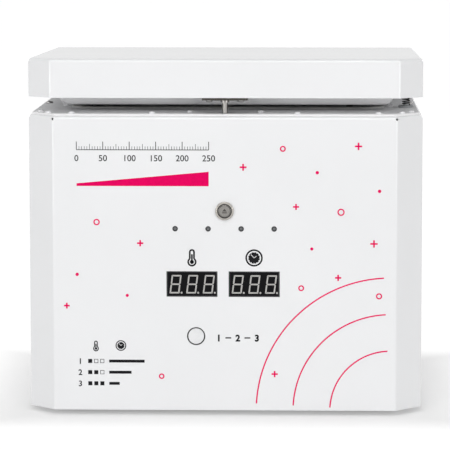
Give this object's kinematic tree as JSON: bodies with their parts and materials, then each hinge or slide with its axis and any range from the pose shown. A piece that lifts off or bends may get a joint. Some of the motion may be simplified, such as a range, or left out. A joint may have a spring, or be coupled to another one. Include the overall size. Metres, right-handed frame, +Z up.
{
  "type": "dry heat sterilizer",
  "caption": "Bench-top dry heat sterilizer with a folded case, a heated chamber under a rear-hinged lid, a front control panel and a lift-out tray.",
  "frame": {"origin": "on the bench, under the middle of the overall footprint", "axes": "+Z up, -Y out of the front panel, +X to the right of someone facing the front"},
  "size_m": [0.3, 0.26, 0.2717],
  "materials": {
    "white_coat": "powder coat, satin",
    "plate_coat": "powder coat, satin",
    "pan_coat": "powder coat, satin",
    "stainless": "brushed",
    "zinc_steel": "zinc plated",
    "nickel": "polished nickel",
    "silicone": "matte",
    "foot_rubber": "matte",
    "ceramic_fibre": "matte fibre",
    "heater_foil": "matte",
    "display_face": "gloss",
    "lamp_lens": "gloss",
    "key_cap": "satin",
    "board_laminate": "solder mask",
    "black_plastic": "matte",
    "grey_plastic": "matte",
    "green_plastic": "matte",
    "winding_tape": "tape",
    "alloy": "extruded",
    "brass_metal": "machined"
  },
  "bodies": {
    "case": {"case_shell": "white_coat", "bottom_plate": "zinc_steel", "back_panel": "white_coat", "top_plate": "plate_coat", "plate_rivets": "white_coat", "side_screws": "zinc_steel", "rubber_feet": "foot_rubber", "foot_screws": "zinc_steel", "bottom_screws": "zinc_steel", "rear_screws": "zinc_steel", "chamber_tank": "stainless", "chamber_gasket": "silicone", "chamber_insulation": "ceramic_fibre", "heat_shield": "zinc_steel", "heater_pads": "heater_foil", "temperature_probe": "brass_metal", "thermal_cutout": "alloy", "latch_housing": "zinc_steel", "latch_solenoid": "zinc_steel", "bolt_spring": "nickel", "latch_sensor": "black_plastic", "spring_seat": "black_plastic", "pop_up_spring": "nickel", "hinge_case_leaves": "zinc_steel", "hinge_pins": "nickel", "open_button_bezel": "nickel", "open_button_nut": "nickel", "key_switch": "black_plastic", "temperature_display": "display_face", "time_display": "display_face", "status_lamps": "lamp_lens", "display_board": "board_laminate", "display_standoffs": "brass_metal", "display_screws": "zinc_steel", "power_board": "board_laminate", "power_standoffs": "brass_metal", "transformer": "winding_tape", "board_relays": "grey_plastic", "terminal_block": "green_plastic", "heat_sink": "alloy", "solid_state_relay": "black_plastic", "mains_inlet": "black_plastic", "switch_frame": "black_plastic"},
    "lid": {"lid_shell": "white_coat", "lid_pan": "pan_coat", "lid_insulation": "ceramic_fibre", "striker_bracket": "zinc_steel", "striker_screws": "zinc_steel", "latch_pin": "nickel", "spring_cup": "zinc_steel", "hinge_lid_leaves": "zinc_steel", "lid_hinge_screws": "zinc_steel"},
    "open_button": {"open_button_cap": "nickel"},
    "program_button": {"program_key": "key_cap"},
    "bolt": {"latch_bolt": "nickel"},
    "rocker": {"switch_rocker": "black_plastic"},
    "tray": {"instrument_tray": "stainless"}
  },
  "joints": [
    {"name": "lid_hinge", "type": "hinge", "parent": "case", "child": "lid", "pos_m": [0, 0.11595, 0.234], "axis": [-1, 0, 0], "range_deg": [-1, 80]},
    {"name": "open_button_push", "type": "slide", "parent": "case", "child": "open_button", "axis": [0, 1, 0], "range_m": [0, 0.0015], "stiffness_N_per_m": 600, "springref_m": -0.0005},
    {"name": "program_button_push", "type": "slide", "parent": "case", "child": "program_button", "axis": [0, 1, 0], "range_m": [0, 0.0006], "stiffness_N_per_m": 800, "springref_m": -0.0003},
    {"name": "latch_bolt_slide", "type": "slide", "parent": "case", "child": "bolt", "axis": [-1, 0, 0], "range_m": [0, 0.005], "stiffness_N_per_m": 300, "springref_m": -0.001},
    {"name": "power_switch_rock", "type": "hinge", "parent": "case", "child": "rocker", "pos_m": [0.045, 0.11045, 0.04], "axis": [-1, 0, 0], "range_deg": [0, 18]},
    {"name": "tray_lift", "type": "slide", "parent": "case", "child": "tray", "axis": [0, 0, 1], "range_m": [0, 0.045]}
  ]
}
